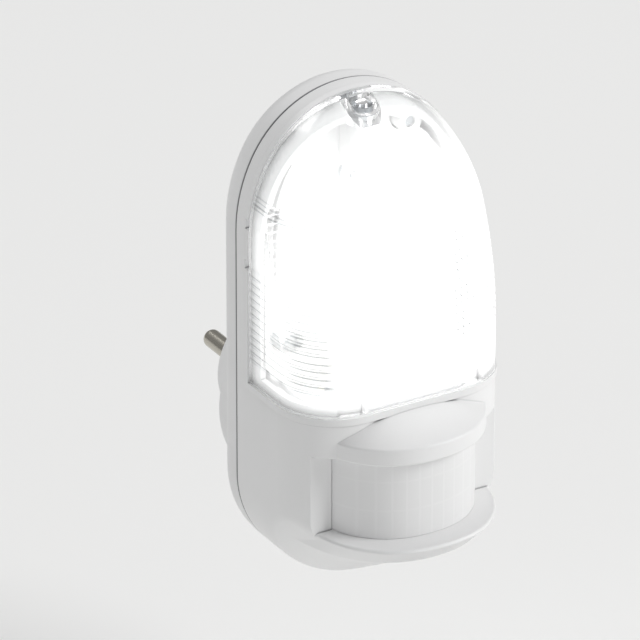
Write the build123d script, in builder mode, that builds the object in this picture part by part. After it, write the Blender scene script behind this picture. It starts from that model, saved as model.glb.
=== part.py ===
"""Plug-in night light with a motion sensor, every piece as its own solid.

Millimetres, +Z up, the front faces -Y.  The origin is the centre of the plug's end face, between the pins.
Depths are counted forwards from the socket plate, which the plug's round flange rests on.
"""
from build123d import *
from functools import lru_cache
import math
import os

os.makedirs("parts", exist_ok=True)

# ---- outline of the housing, seen from the front
half_width = 30.0
top_z = 90.2
haunch_z = 56.3
haunch_radius = 40.0
round_end_z = -11.0
foot_z = -40.0

# ---- depths of the housing, in front of the socket plate
stand_off = 5.5
seam_depth = 14.0
rim_depth = 20.2
face_depth = 50.0
face_bend_z = 30.0
crown_depth = 22.7
belly_depth = 30.0
belly_lift = 2.0
belly_angle = 30.0
belly_bow = half_width + 3.0
belly_radius = 6.0
corner_radius = 16.0
rear_radius = 5.0

# ---- walls and clearances
wall = 2.0
slack = 0.1
seam_chamfer = 0.35
edge_radius = 0.6
tongue_length = 1.5
tongue_wall = 0.9
crown_sink = face_depth - crown_depth
face_radius = ((top_z - face_bend_z) ** 2 + crown_sink ** 2) / (2 * crown_sink)

# ---- lens cover
lens_z = 16.9
bead_height = 0.4
bead_width = 1.8
ledge_wall = 1.5
ledge_depth = 4.3
ledge_height = 2.5
shelf_wall = 1.5
rib_pitch = 2.1
rib_height = 0.7
rib_first_z = 24.0
rib_last_z = 67.0
rib_inner_x = 20.5
tab_inner_x = 14.0
tab_outer_x = 20.0
tab_length = 2.2
tab_wall = 1.1
tab_slit = 0.45
rim_notch_z = (49.4, 60.2)
rim_notch_height = 2.5
rim_notch_depth = 1.2
lens_screw_depth = 24.0
lens_pocket_radius = 3.4
lens_pocket_z = 85.4
lens_boss_radius = 4.4
lens_boss_height = 2.8

# ---- motion sensor pod: visor, window and ledge, each a bowed section whose depths follow the face
visor_z = 5.85
visor_band = 4.5
visor_half = 24.5
visor_base_depth = face_depth - 18.4
visor_front_depth = face_depth + 11.2
visor_exponent = 2.28
roof_z = lens_z - 0.9
roof_half = 21.0
roof_front_depth = face_depth - 0.6
ledge_z = -15.8
lip_half = 25.8
lip_base_depth = face_depth - 16.0
lip_front_depth = face_depth + 15.4
lip_exponent = 2.35
lip_under_z = ledge_z - 5.4
lip_under_half = lip_half + 0.4
lip_under_base_depth = face_depth - 24.0
lip_under_front_depth = face_depth + 10.3
lip_under_exponent = 2.19
keel_z = lip_under_z - 6.3
keel_half = lip_half - 4.8
keel_front_depth = face_depth - 3.0
niche_depth = face_depth - 6.0
window_half = 21.85
window_base_depth = face_depth - 16.7
window_front_depth = face_depth + 8.0
window_exponent = 2.26
window_wall = 1.0
window_flange_half = window_half + 2.35
window_flange_wall = 1.0
window_flange_overlap = 1.8
pry_slot_depth = face_depth - 12.0
pry_slot_width = 1.4
pry_slot_height = 3.0

# ---- plug for an earthed wall socket with two round pins
plug_length = 16.5
plug_radius = 18.5
flange_radius = 27.2
clip_notch_width = 10.0
clip_notch_depth = 3.0
spigot_radius = 14.0
spigot_height = 3.0
pin_radius = 2.4
pin_root_radius = 2.6
pin_length = 19.0
pin_spacing = 19.0
pin_tail_radius = 1.6
pin_tail_length = 3.0

# ---- screws
thread_clearance = 0.05
case_screw_radius = 1.45
case_screw_length = 11.4
crown_screw_turn = 44.5
crown_screw_inset = 6.3
foot_screw_turn = 55.6
foot_screw_inset = 7.0
case_head_radius = 2.6
case_head_height = 2.0
case_sink_radius = 2.9
case_sink_depth = 2.6
case_post_radius = 3.4
case_boss_radius = 4.4
case_post_depth = niche_depth - wall
small_screw_radius = 1.2
small_head_radius = 2.2
small_head_height = 1.4
tiny_screw_radius = 0.9
tiny_head_radius = 1.7
tiny_head_height = 1.1
driver_slot = 0.7

# ---- lamp, lampholder and reflector
lamp_front_gap = 6.0
holder_drop = 10.4
holder_height = 20.0
holder_radius = 9.5
holder_bore = 7.9
holder_floor = 2.0
shelf_gap = 0.4
holder_flange_length = 31.0
holder_flange_width = 11.0
holder_flange_wall = 1.6
holder_screw_x = 12.6
sleeve_radius = 7.7
sleeve_bore = 7.2
sleeve_height = 14.0
contact_radius = 4.0
contact_wall = 0.6
contact_rise = 1.2
tip_radius = 2.2
tip_height = 0.8
insulator_radius = 5.4
insulator_height = 1.6
cap_radius = 6.95
cap_length = 14.0
cap_foot = 1.0
cap_wall = 0.4
thread_pitch = 2.82
thread_depth = 0.5
glass_radius = 11.0
glass_gap = 1.1
glass_wall = 0.8
glass_shoulder = 5.0
stem_radius = 2.2
stem_height = 16.0
support_radius = 0.3
support_spread = 3.4
support_height = 12.0
coil_radius = 0.7
lead_radius = 0.8
lead_bend = 3.0
lead_z = 3.0
lead_setback = 3.0
lead_x = 4.0
reflector_inset = 5.5
reflector_wall = 1.4
reflector_back_gap = 1.0
reflector_height = 8.0
reflector_shelf_gap = 6.0
reflector_screw_places = ((-15.0, 30.0), (15.0, 30.0), (0.0, 66.0))

# ---- control board and what it carries: places are X and Z, sizes are across, up and forward
board_wall = 1.6
board_gap = 0.9
board_side_gap = 7.0
board_bottom_z = -24.0
board_top_z = 12.0
board_screw_x_inset = 4.7
board_screw_z_inset = 2.5
post_radius = 2.6
relay_place = (-11.5, -11.3)
relay_size = (19.0, 15.5, 9.4)
film_place = (7.0, -18.0)
film_size = (17.0, 6.0, 9.0)
electrolytic_place = (5.5, -9.0)
electrolytic_radius = 4.0
electrolytic_height = 9.2
ic_place = (-10.5, 4.8)
ic_size = (9.0, 6.2, 3.4)
diode_places = ((12.2, -9.8), (15.2, -9.8), (18.2, -9.8), (21.2, -9.8))
diode_radius = 1.3
diode_length = 5.0
resistor_places = ((-21.2, 3.0), (-18.8, 3.0), (7.6, 4.0), (10.2, 4.0))
resistor_radius = 0.9
resistor_length = 4.4
fuse_place = (13.4, 4.2)
fuse_radius = 1.75
fuse_length = 9.0
link_place = (12.2, -2.2)
link_size = (7.0, 2.6, 2.5)
link_pin_radius = 0.35
link_pitch = 2.54

# ---- motion sensor board behind the window
frame_wall = 2.0
frame_half = window_half + 2.15
frame_overlap = 1.5
shroud_half = 17.0
shroud_height = 19.0
shroud_wall = 1.2
shroud_length = 6.0
sensor_board_wall = 1.2
sensor_board_half = 17.0
sensor_board_height = 20.0
sensor_screw_x = 14.6
sensor_post_radius = 2.2
can_radius = 4.05
can_flange_radius = 4.6
can_flange_height = 0.5
can_height = 4.2
filter_width = 5.0
filter_height = 4.0
filter_wall = 0.3
sensor_pin_radius = 0.25
sensor_pin_ring = 2.54
light_sensor_x = 9.2
light_sensor_radius = 2.5
light_sensor_height = 5.0
peg_x_margin = 0.95
peg_z_inset = 1.8
peg_radius = 1.0
peg_head_radius = 1.5
peg_head_height = 0.8

# ---- slide switch, moving along Z in the right-hand wall
switch_z = 2.0
switch_travel = 3.0
switch_body_length = 13.0
switch_body_width = 7.0
switch_body_height = 5.5
switch_body_wall = 1.0
knob_length = 5.4
knob_width = 3.0
knob_proud = 1.4
knob_plate = 0.6
knob_plate_overlap = 0.6
knob_plate_width = 5.6
knob_gap = 0.2
knob_stem = 2.0
knob_ridges = 4
knob_ridge = 0.35

tiny = 0.01
far = 200.0


# ---- planes and profiles shared by the shells

haunch_centre = (half_width - haunch_radius, haunch_z)
haunch_rise = top_z - haunch_z
crown_radius = ((haunch_centre[0] ** 2 + haunch_rise ** 2 - haunch_radius ** 2)
                / (2 * (haunch_rise - haunch_radius)))
crown_centre = (0, top_z - crown_radius)


def at_depth(depth):
    """A plane that faces the front, at a depth in front of the socket plate."""
    return Plane.XZ.offset(plug_length + depth)


def depth_y(depth):
    """The Y place of a depth in front of the socket plate."""
    return -plug_length - depth


def on_arc(centre, radius, angle):
    """A point on a circle, its angle counted from the first axis."""
    return (centre[0] + radius * math.cos(angle), centre[1] + radius * math.sin(angle))


def outline(inset, depth):
    """The housing's front outline: round head, leaning haunches, straight sides and a round end on a foot."""
    lean = math.atan2(crown_centre[1] - haunch_z, -haunch_centre[0])
    side = half_width - inset
    join = on_arc(crown_centre, crown_radius - inset, lean)
    foot = foot_z + inset
    foot_angle = -math.asin((round_end_z - foot) / side)
    heel = on_arc((0, round_end_z), side, foot_angle)
    with BuildSketch(at_depth(depth)) as sketch:
        with BuildLine():
            Line((0, foot), heel)
            ThreePointArc(heel, on_arc((0, round_end_z), side, foot_angle / 2), (side, round_end_z))
            Line((side, round_end_z), (side, haunch_z))
            ThreePointArc((side, haunch_z), on_arc(haunch_centre, haunch_radius - inset, lean / 2), join)
            middle = (lean + math.pi / 2) / 2
            ThreePointArc(join, on_arc(crown_centre, crown_radius - inset, middle), (0, top_z - inset))
            mirror(about=Plane.YZ)
        make_face()
    return sketch.sketch


def side_profile(inset):
    """The housing seen from the side: a straight face that leans back to the top."""
    face_y = depth_y(face_depth) + inset
    radius = face_radius - inset
    centre = (depth_y(face_depth) + face_radius, face_bend_z)
    head_z = top_z + wall
    head_angle = math.pi - math.asin((head_z - face_bend_z) / radius)
    head = on_arc(centre, radius, head_angle)
    with BuildSketch(Plane.YZ.offset(-far / 2)) as sketch:
        with BuildLine():
            Polyline((face_y, face_bend_z), (face_y, -far), (0, -far), (0, head_z), head)
            ThreePointArc(head, on_arc(centre, radius, (head_angle + math.pi) / 2), (face_y, face_bend_z))
        make_face()
    return sketch.sketch


def belly_form(inset):
    """All that lies above the housing's bowed underside, which rises towards the front."""
    rise = math.radians(belly_angle)
    centre = (0, depth_y(belly_depth), foot_z + belly_lift + inset / math.cos(rise) + belly_bow)
    front = (0, -math.cos(rise), math.sin(rise))
    with BuildPart() as form:
        with BuildSketch(Plane(origin=centre, x_dir=(1, 0, 0), z_dir=front)):
            with BuildLine():
                ThreePointArc((-belly_bow, 0), (0, -belly_bow * math.cos(rise)), (belly_bow, 0))
                Polyline((belly_bow, 0), (belly_bow, far), (-belly_bow, far), (-belly_bow, 0))
            make_face()
        extrude(amount=far, both=True)
    return form.part


def lies_in_front(edge):
    """Whether an edge lies in front of the seam."""
    return edge.center().Y < depth_y(seam_depth) - tiny


@lru_cache
def housing_form(inset):
    """The front housing's solid outer form, or the same form drawn inwards by a wall."""
    with BuildPart() as form:
        extrude(outline(inset, seam_depth), amount=far / 2)
        extrude(side_profile(inset), amount=far, mode=Mode.INTERSECT)
        fillet(form.edges().filter_by(lies_in_front), radius=corner_radius - inset)
        add(belly_form(inset), mode=Mode.INTERSECT)
        fillet(form.edges(Select.LAST).filter_by(lies_in_front), radius=belly_radius - inset)
    return form.part


def skin(outer_inset, inner_inset):
    """The layer of the housing form between two insets."""
    with BuildPart() as layer:
        add(housing_form(outer_inset))
        add(housing_form(inner_inset), mode=Mode.SUBTRACT)
    return layer.part


def bow(half, base_depth, front_depth, exponent, z, inset=0.0):
    """A level section with a straight back and a bowed front."""
    count = 12
    points = []
    for step in range(count + 1):
        angle = math.pi * step / count
        across = math.copysign(abs(math.cos(angle)) ** (2 / exponent), math.cos(angle))
        ahead = abs(math.sin(angle)) ** (2 / exponent)
        reach = front_depth - inset - base_depth
        points.append(((half - inset) * across, depth_y(base_depth + reach * ahead)))
    with BuildSketch(Plane.XY.offset(z)) as sketch:
        with BuildLine():
            Spline(*points, tangents=[(0, -1), (0, 1)])
            Line(points[-1], points[0])
        make_face()
    return sketch.sketch


def level_edges(shape, z, depth):
    """The curved edges that lie level at a height, in front of a depth."""
    def lies_level(edge):
        box = edge.bounding_box()
        return max(abs(box.min.Z - z), abs(box.max.Z - z)) < 5 * tiny and edge.center().Y < depth_y(depth)
    return shape.edges().filter_by(GeomType.LINE, reverse=True).filter_by(lies_level)


def slab(x_range, depth_range, z_range):
    """A plain block between two places on each axis, for cutting and keeping."""
    with BuildPart() as block:
        with BuildSketch(at_depth(depth_range[0])):
            with Locations(((x_range[0] + x_range[1]) / 2, (z_range[0] + z_range[1]) / 2)):
                Rectangle(x_range[1] - x_range[0], z_range[1] - z_range[0])
        extrude(amount=depth_range[1] - depth_range[0])
    return block.part


def rod(x, z, radius, depth_range):
    """A round rod that runs from back to front."""
    with BuildPart() as bar:
        with BuildSketch(at_depth(depth_range[0])):
            with Locations((x, z)):
                Circle(radius)
        extrude(amount=depth_range[1] - depth_range[0])
    return bar.part


def post(x, depth, radius, z_range):
    """A round rod that runs upwards."""
    with BuildPart() as bar:
        with BuildSketch(Plane.XY.offset(z_range[0])):
            with Locations((x, depth_y(depth))):
                Circle(radius)
        extrude(amount=z_range[1] - z_range[0])
    return bar.part


def front_screw(x, z, depth, length, radius, head_radius, head_height, back_to_front):
    """A screw along Y with its head at a depth; the shank runs forwards or backwards from it."""
    way = 1 if back_to_front else -1
    with BuildPart() as screw:
        with BuildSketch(at_depth(depth)):
            with Locations((x, z)):
                Circle(head_radius)
        extrude(amount=-way * head_height)
        with BuildSketch(at_depth(depth)):
            with Locations((x, z)):
                Circle(radius)
        extrude(amount=way * length)
        with BuildSketch(at_depth(depth - way * head_height)):
            with Locations((x, z)):
                Rectangle(head_radius * 1.3, driver_slot)
                Rectangle(driver_slot, head_radius * 1.3)
        extrude(amount=way * head_height / 2, mode=Mode.SUBTRACT)
    return screw.part


def finish(piece, name):
    """Label a piece and write it."""
    piece.part.label = name
    export_step(piece.part, "parts/" + name + ".step")


# ---- places that several pieces share, as X and Z

foot_screw = on_arc((0, round_end_z), half_width - foot_screw_inset, math.radians(-foot_screw_turn))
crown_screw = on_arc(crown_centre, crown_radius - crown_screw_inset, math.radians(crown_screw_turn))
case_screw_places = [(side * x, z) for x, z in (foot_screw, crown_screw) for side in (-1, 1)]

lamp_depth = face_depth - wall - lamp_front_gap - glass_radius
shelf_top_z = lens_z - slack
reflector_shelf_z = shelf_top_z + shelf_gap
holder_flange_z = reflector_shelf_z + reflector_wall
holder_z = holder_flange_z - holder_drop
reflector_back_depth = seam_depth + reflector_back_gap
reflector_front_depth = reflector_back_depth + reflector_height
reflector_shelf_depth = face_depth - reflector_shelf_gap

board_front = lamp_depth - holder_radius - board_gap
board_depth = board_front - board_wall
board_half = half_width - board_side_gap
board_screw_x = board_half - board_screw_x_inset
board_screw_places = [(side * board_screw_x, z) for side in (-1, 1)
                      for z in (board_bottom_z + board_screw_z_inset, board_top_z - board_screw_z_inset)]

niche_back = niche_depth - wall
frame_front = niche_back - window_flange_wall
frame_back = frame_front - frame_wall
shroud_depth = frame_back - shroud_length
sensor_z = (visor_z + ledge_z) / 2
peg_places = [(side * (window_half + peg_x_margin), z) for side in (-1, 1)
              for z in (ledge_z + peg_z_inset, visor_z - peg_z_inset)]
switch_depth = board_front + switch_body_width / 2


# ---- back housing: a shallow shell with a hole for the plug, bosses and board posts

floor_depth = stand_off + wall
tongue_inset = wall - tongue_wall
with BuildPart() as back_housing:
    extrude(outline(0, stand_off), amount=seam_depth - stand_off)
    fillet(back_housing.edges().group_by(Axis.Y)[-1], radius=rear_radius)
    chamfer(back_housing.edges().group_by(Axis.Y)[0], length=seam_chamfer)
    extrude(outline(tongue_inset, stand_off + wall), amount=seam_depth + tongue_length - floor_depth)
    extrude(outline(wall, floor_depth), amount=far / 2, mode=Mode.SUBTRACT)
    for x, z in case_screw_places:
        add(rod(x, z, case_boss_radius, (floor_depth - tiny, seam_depth - slack)))
    for x, z in board_screw_places:
        add(rod(x, z, post_radius, (floor_depth - tiny, board_depth)))
        add(rod(x, z, small_screw_radius + thread_clearance, (floor_depth, board_depth)), mode=Mode.SUBTRACT)
    for x, z in reflector_screw_places:
        add(rod(x, z, post_radius, (floor_depth - tiny, reflector_back_depth)))
        add(rod(x, z, small_screw_radius + thread_clearance, (floor_depth, reflector_back_depth)),
            mode=Mode.SUBTRACT)
    for x, z in case_screw_places:
        add(rod(x, z, case_screw_radius + slack, (0, far)), mode=Mode.SUBTRACT)
        add(rod(x, z, case_sink_radius, (0, stand_off + case_sink_depth)), mode=Mode.SUBTRACT)
    add(rod(0, 0, spigot_radius + slack, (0, floor_depth + tiny)), mode=Mode.SUBTRACT)
    plug_screw_ring = (flange_radius + spigot_radius) / 2
    with BuildSketch(at_depth(stand_off)):
        with PolarLocations(plug_screw_ring, 3, start_angle=90):
            Circle(small_screw_radius + slack)
    extrude(amount=wall, mode=Mode.SUBTRACT)
finish(back_housing, "back_housing")


# ---- plug body: round flange on the plate, socket spigot with clip notches, inner spigot

with BuildPart() as plug_body:
    with BuildSketch(at_depth(0)):
        Circle(flange_radius)
    extrude(amount=stand_off)
    chamfer(plug_body.edges().group_by(Axis.Y)[-1], length=seam_chamfer)
    with BuildSketch(at_depth(0)):
        Circle(plug_radius)
        with Locations((0, plug_radius), (0, -plug_radius)):
            Rectangle(clip_notch_width, 2 * clip_notch_depth, mode=Mode.SUBTRACT)
    extrude(amount=-plug_length)
    chamfer(plug_body.edges().group_by(Axis.Y)[-1], length=1.0)
    with BuildSketch(at_depth(stand_off)):
        Circle(spigot_radius)
    extrude(amount=spigot_height)
    with BuildSketch(at_depth(-plug_length)):
        with GridLocations(pin_spacing, 0, 2, 1):
            Circle(pin_root_radius + thread_clearance)
    extrude(amount=far / 2, mode=Mode.SUBTRACT)
    with BuildSketch(at_depth(stand_off)):
        with PolarLocations(plug_screw_ring, 3, start_angle=90):
            Circle(small_screw_radius + thread_clearance)
    extrude(amount=-(stand_off - 1.0), mode=Mode.SUBTRACT)
finish(plug_body, "plug_body")


# ---- plug pins: nickel-plated brass with domed tips, a thicker root in the body and a thin riveting tail

pin_inner_depth = stand_off + spigot_height
with BuildPart() as plug_pins:
    with BuildSketch(at_depth(-plug_length - pin_length)):
        with GridLocations(pin_spacing, 0, 2, 1):
            Circle(pin_radius)
    extrude(amount=pin_length)
    fillet(plug_pins.edges().group_by(Axis.Y)[-1], radius=pin_radius * 0.75)
    with BuildSketch(at_depth(-plug_length)):
        with GridLocations(pin_spacing, 0, 2, 1):
            Circle(pin_root_radius)
    extrude(amount=plug_length + pin_inner_depth)
    with BuildSketch(at_depth(pin_inner_depth)):
        with GridLocations(pin_spacing, 0, 2, 1):
            Circle(pin_tail_radius)
    extrude(amount=pin_tail_length)
finish(plug_pins, "plug_pins")


# ---- plug screws: three, from inside, through the shell's floor into the flange

plug_screw_length = wall + stand_off - 1.6
with BuildPart() as plug_screws:
    for turn in (90, 210, 330):
        x, z = on_arc((0, 0), plug_screw_ring, math.radians(turn))
        add(front_screw(x, z, floor_depth, plug_screw_length, small_screw_radius, small_head_radius,
                        small_head_height, False))
finish(plug_screws, "plug_screws")


# ---- contact straps: brass strips from each pin's tail to the control board

strap_wall = 0.6
strap_width = 5.0
strap_reach = 7.0
with BuildPart() as contact_straps:
    for side in (-1, 1):
        x = side * pin_spacing / 2
        outer_x = x + side * strap_reach
        low, high = sorted((x - side * strap_width / 2, outer_x))
        add(slab((low, high), (pin_inner_depth, pin_inner_depth + strap_wall),
                 (-strap_width / 2, strap_width / 2)))
        low, high = sorted((outer_x, outer_x - side * strap_wall))
        add(slab((low, high), (pin_inner_depth, board_depth + board_wall + 1.0),
                 (-strap_width / 4, strap_width / 4)))
        add(rod(x, 0, pin_tail_radius + thread_clearance, (pin_inner_depth - 1, pin_inner_depth + 1)),
            mode=Mode.SUBTRACT)
finish(contact_straps, "contact_straps")


# ---- forms that the front housing shares with the lens cover and the window

ledge_inset = wall + slack
holder_hole = holder_radius + 2 * slack
slot_half = knob_length / 2 + switch_travel + 3 * slack


def pod_form(inset):
    """The visor with its roof and the lip under the window, solid or drawn inwards by a wall."""
    brow_z = visor_z + visor_band
    with BuildPart() as pod:
        visor = bow(visor_half, visor_base_depth, visor_front_depth, visor_exponent, visor_z + inset, inset)
        extrude(visor, amount=visor_band - inset)
        brow = bow(visor_half, visor_base_depth, visor_front_depth, visor_exponent, brow_z, inset)
        roof = bow(roof_half, visor_base_depth, roof_front_depth, visor_exponent, roof_z - inset, inset)
        loft([brow, roof])
        lip = bow(lip_half, lip_base_depth, lip_front_depth, lip_exponent, ledge_z - inset, inset)
        under = bow(lip_under_half, lip_under_base_depth, lip_under_front_depth, lip_under_exponent,
                    lip_under_z + inset / 2, inset)
        loft([lip, under])
        if inset == 0:
            keel = bow(keel_half, lip_under_base_depth, keel_front_depth, lip_under_exponent, keel_z)
            loft([under, keel])
            fillet(level_edges(pod, brow_z, 0) + level_edges(pod, lip_under_z, 0), radius=edge_radius)
    return pod.part


def window_bow(inset, bottom_z, height):
    """The window's half-round plan, solid, grown or drawn inwards."""
    with BuildPart() as body:
        extrude(bow(window_half, window_base_depth, window_front_depth, window_exponent, bottom_z, inset),
                amount=height)
    return body.part


def lens_latch(clearance, low_z, high_z, near_inset):
    """The two latch tabs behind the housing's front wall, or the room cut for them."""
    with BuildPart() as places:
        with BuildSketch(at_depth(lamp_depth)):
            for side in (-1, 1):
                with Locations((side * (tab_inner_x + tab_outer_x) / 2, (low_z + high_z) / 2)):
                    Rectangle(tab_outer_x - tab_inner_x + 2 * clearance, high_z - low_z)
        extrude(amount=face_depth)
        add(skin(near_inset, ledge_inset + tab_wall + clearance), mode=Mode.INTERSECT)
    return places.part


# ---- front housing: band round the lens, lower front with visor, window niche and ledge

with BuildPart() as front_cavity:
    add(housing_form(wall))
    add(pod_form(wall))
    add(slab((-far / 2, far / 2), (niche_back, far), (ledge_z - wall, visor_z + wall)), mode=Mode.SUBTRACT)

with BuildPart() as lens_ledge:
    add(skin(ledge_inset, ledge_inset + ledge_wall))
    add(slab((-far, far), (rim_depth + ledge_depth, far), (lens_z + ledge_height, far)), mode=Mode.SUBTRACT)
    add(slab((-far, far), (0, far), (-far, shelf_top_z - shelf_wall)), mode=Mode.SUBTRACT)

with BuildPart() as lens_bead:
    add(skin(-bead_height, bead_height))
    add(slab((-far, far), (0, rim_depth - bead_width), (-far, far)), mode=Mode.SUBTRACT)
    add(slab((-far, far), (rim_depth, far), (lens_z, far)), mode=Mode.SUBTRACT)
    add(slab((-far, far), (0, far), (-far, lens_z - bead_width)), mode=Mode.SUBTRACT)

with BuildPart() as lens_shelf:
    add(housing_form(wall))
    add(slab((-far, far), (rim_depth, far), (shelf_top_z - shelf_wall, shelf_top_z)), mode=Mode.INTERSECT)
    add(slab((-holder_hole, holder_hole), (0, lamp_depth), (0, far)), mode=Mode.SUBTRACT)
    add(post(0, lamp_depth, holder_hole, (0, far)), mode=Mode.SUBTRACT)
    for side in (-1, 1):
        add(post(side * holder_screw_x, lamp_depth, tiny_screw_radius + thread_clearance, (0, far)),
            mode=Mode.SUBTRACT)

with BuildPart() as rebate:
    extrude(outline(tongue_inset - slack, seam_depth), amount=tongue_length + slack)
    extrude(outline(ledge_inset, seam_depth), amount=tongue_length + slack, mode=Mode.SUBTRACT)

lens_post_z = lens_pocket_z - lens_boss_height - slack
lens_post_length = 12.0
lens_post_bottom = lens_post_z - lens_post_length
with BuildPart() as front_housing:
    add(housing_form(0))
    add(pod_form(0))
    add(slab((-far, far), (rim_depth, far), (shelf_top_z, far)), mode=Mode.SUBTRACT)
    add(front_cavity.part, mode=Mode.SUBTRACT)
    add(slab((-far, far), (niche_depth, far), (ledge_z, visor_z)), mode=Mode.SUBTRACT)
    for z in (visor_z, ledge_z):
        fillet(level_edges(front_housing, z, niche_depth + tiny), radius=edge_radius)
    add(window_bow(-2 * slack, ledge_z, visor_z - ledge_z), mode=Mode.SUBTRACT)
    chamfer(front_housing.edges().group_by(Axis.Y)[-1], length=seam_chamfer)
    add(lens_ledge.part)
    add(lens_bead.part)
    add(lens_shelf.part)
    for x, z in case_screw_places:
        end = case_post_depth if z < lens_z else rim_depth - slack
        add(rod(x, z, case_post_radius, (seam_depth + slack, end)) & housing_form(wall / 2))
        add(rod(x, z, case_screw_radius + thread_clearance, (0, rim_depth)), mode=Mode.SUBTRACT)
    strut = slab((-lens_boss_radius / 2, lens_boss_radius / 2),
                 (seam_depth + tongue_length + 1, lens_screw_depth), (lens_post_bottom, top_z))
    add(strut & housing_form(ledge_inset))
    add(slab((-lens_boss_radius - slack, lens_boss_radius + slack), (rim_depth - slack, far),
             (lens_post_z, far)), mode=Mode.SUBTRACT)
    add(post(0, lens_screw_depth, lens_pocket_radius, (lens_post_bottom, lens_post_z)))
    add(post(0, lens_screw_depth, case_screw_radius + thread_clearance, (lens_post_bottom + 0.5, far)),
        mode=Mode.SUBTRACT)
    add(rebate.part, mode=Mode.SUBTRACT)
    add(lens_latch(2 * slack, shelf_top_z - shelf_wall - slack, lens_z + ledge_height + slack, wall),
        mode=Mode.SUBTRACT)
    for z in rim_notch_z:
        for side in (-1, 1):
            low, high = sorted((side * (half_width - wall), side * half_width * 2))
            add(slab((low, high), (rim_depth - rim_notch_depth, rim_depth),
                     (z - rim_notch_height / 2, z + rim_notch_height / 2)), mode=Mode.SUBTRACT)
    add(slab((half_width - wall, 2 * half_width),
             (pry_slot_depth - pry_slot_width / 2, pry_slot_depth + pry_slot_width / 2),
             (lens_z - pry_slot_height, lens_z)), mode=Mode.SUBTRACT)
    add(slab((half_width - 2 * wall, 2 * half_width),
             (switch_depth - knob_width / 2 - 3 * slack, switch_depth + knob_width / 2 + 3 * slack),
             (switch_z - slot_half, switch_z + slot_half)), mode=Mode.SUBTRACT)
    for x, z in peg_places:
        add(rod(x, z, peg_radius, (frame_back, niche_back + tiny)))
        add(rod(x, z, peg_head_radius, (frame_back - peg_head_height, frame_back)))
finish(front_housing, "front_housing")


# ---- housing screws: four, from behind, through the back shell into the front's posts

with BuildPart() as housing_screws:
    for x, z in case_screw_places:
        add(front_screw(x, z, stand_off + case_sink_depth, case_screw_length, case_screw_radius,
                        case_head_radius, case_head_height, True))
finish(housing_screws, "housing_screws")


# ---- lens cover: clear, with level ribs inside its corners, a screw boss at the top and two latches

with BuildPart() as lens_ribs:
    with BuildSketch(at_depth(rim_depth + ledge_depth + 1)):
        rib_count = int((rib_last_z - rib_first_z) / rib_pitch) + 1
        for step in range(rib_count):
            for side in (-1, 1):
                width = half_width - rib_inner_x
                with Locations((side * (rib_inner_x + width / 2), rib_first_z + step * rib_pitch)):
                    Rectangle(width, rib_pitch / 2)
    extrude(amount=face_depth)
    add(skin(wall - slack, wall + rib_height), mode=Mode.INTERSECT)

with BuildPart() as lens_boss:
    add(post(0, lens_screw_depth, lens_boss_radius, (lens_pocket_z - lens_boss_height, top_z)))
    add(slab((-far, far), (rim_depth, far), (0, far)), mode=Mode.INTERSECT)
    add(housing_form(wall / 2), mode=Mode.INTERSECT)

with BuildPart() as lens_cover:
    add(skin(0, wall))
    add(slab((-far, far), (rim_depth, far), (lens_z, far)), mode=Mode.INTERSECT)
    add(lens_ribs.part)
    add(lens_boss.part)
    add(post(0, lens_screw_depth, lens_pocket_radius, (lens_pocket_z, far)), mode=Mode.SUBTRACT)
    add(post(0, lens_screw_depth, case_screw_radius + slack, (0, far)), mode=Mode.SUBTRACT)
    for side in (-1, 1):
        low, high = sorted((side * tab_inner_x, side * tab_outer_x))
        add(slab((low, high), (lamp_depth, far), (lens_z, lens_z + tab_slit)), mode=Mode.SUBTRACT)
    add(lens_latch(0, lens_z + 2 * tab_slit, lens_z + 2 * ledge_height, wall - slack))
    add(lens_latch(0, lens_z - tab_length + ledge_height / 2, lens_z + 3 * tab_slit, wall + slack))
finish(lens_cover, "lens_cover")


# ---- lens screw: from above, its head sunk in the lens

with BuildPart() as lens_screw:
    with BuildSketch(Plane.XY.offset(lens_pocket_z)):
        with Locations((0, depth_y(lens_screw_depth))):
            Circle(case_head_radius)
    extrude(amount=case_head_height)
    with BuildSketch(Plane.XY.offset(lens_pocket_z)):
        with Locations((0, depth_y(lens_screw_depth))):
            Circle(case_screw_radius)
    extrude(amount=lens_post_bottom + 2 - lens_pocket_z)
    with BuildSketch(Plane.XY.offset(lens_pocket_z + case_head_height)):
        with Locations((0, depth_y(lens_screw_depth))):
            Rectangle(case_head_radius * 1.3, driver_slot)
            Rectangle(driver_slot, case_head_radius * 1.3)
    extrude(amount=-case_head_height / 2, mode=Mode.SUBTRACT)
finish(lens_screw, "lens_screw")


# ---- reflector: white tray behind the lamp with a shelf that the lampholder stands on

post_gap = 0.5
with BuildPart() as reflector:
    extrude(outline(reflector_inset, reflector_back_depth),
            amount=reflector_front_depth - reflector_back_depth)
    extrude(outline(reflector_inset + reflector_wall, reflector_back_depth + reflector_wall),
            amount=face_depth, mode=Mode.SUBTRACT)
    add(slab((-far, far), (0, far), (-far, reflector_shelf_z)), mode=Mode.SUBTRACT)
    shelf = slab((-far, far), (reflector_back_depth, reflector_shelf_depth),
                 (reflector_shelf_z, holder_flange_z))
    add(shelf & housing_form(reflector_inset))
    add(post(0, lamp_depth, holder_hole, (0, holder_z + holder_height)), mode=Mode.SUBTRACT)
    for side in (-1, 1):
        add(post(side * holder_screw_x, lamp_depth, tiny_screw_radius + slack, (0, holder_flange_z + tiny)),
            mode=Mode.SUBTRACT)
    for x, z in case_screw_places:
        add(rod(x, z, case_post_radius + post_gap, (0, far)), mode=Mode.SUBTRACT)
    for x, z in reflector_screw_places:
        add(rod(x, z, small_screw_radius + slack, (0, far)), mode=Mode.SUBTRACT)
    add(slab((-lens_boss_radius - post_gap, lens_boss_radius + post_gap),
             (reflector_back_depth + reflector_wall, far), (lens_post_bottom, far)), mode=Mode.SUBTRACT)
finish(reflector, "reflector")

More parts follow.
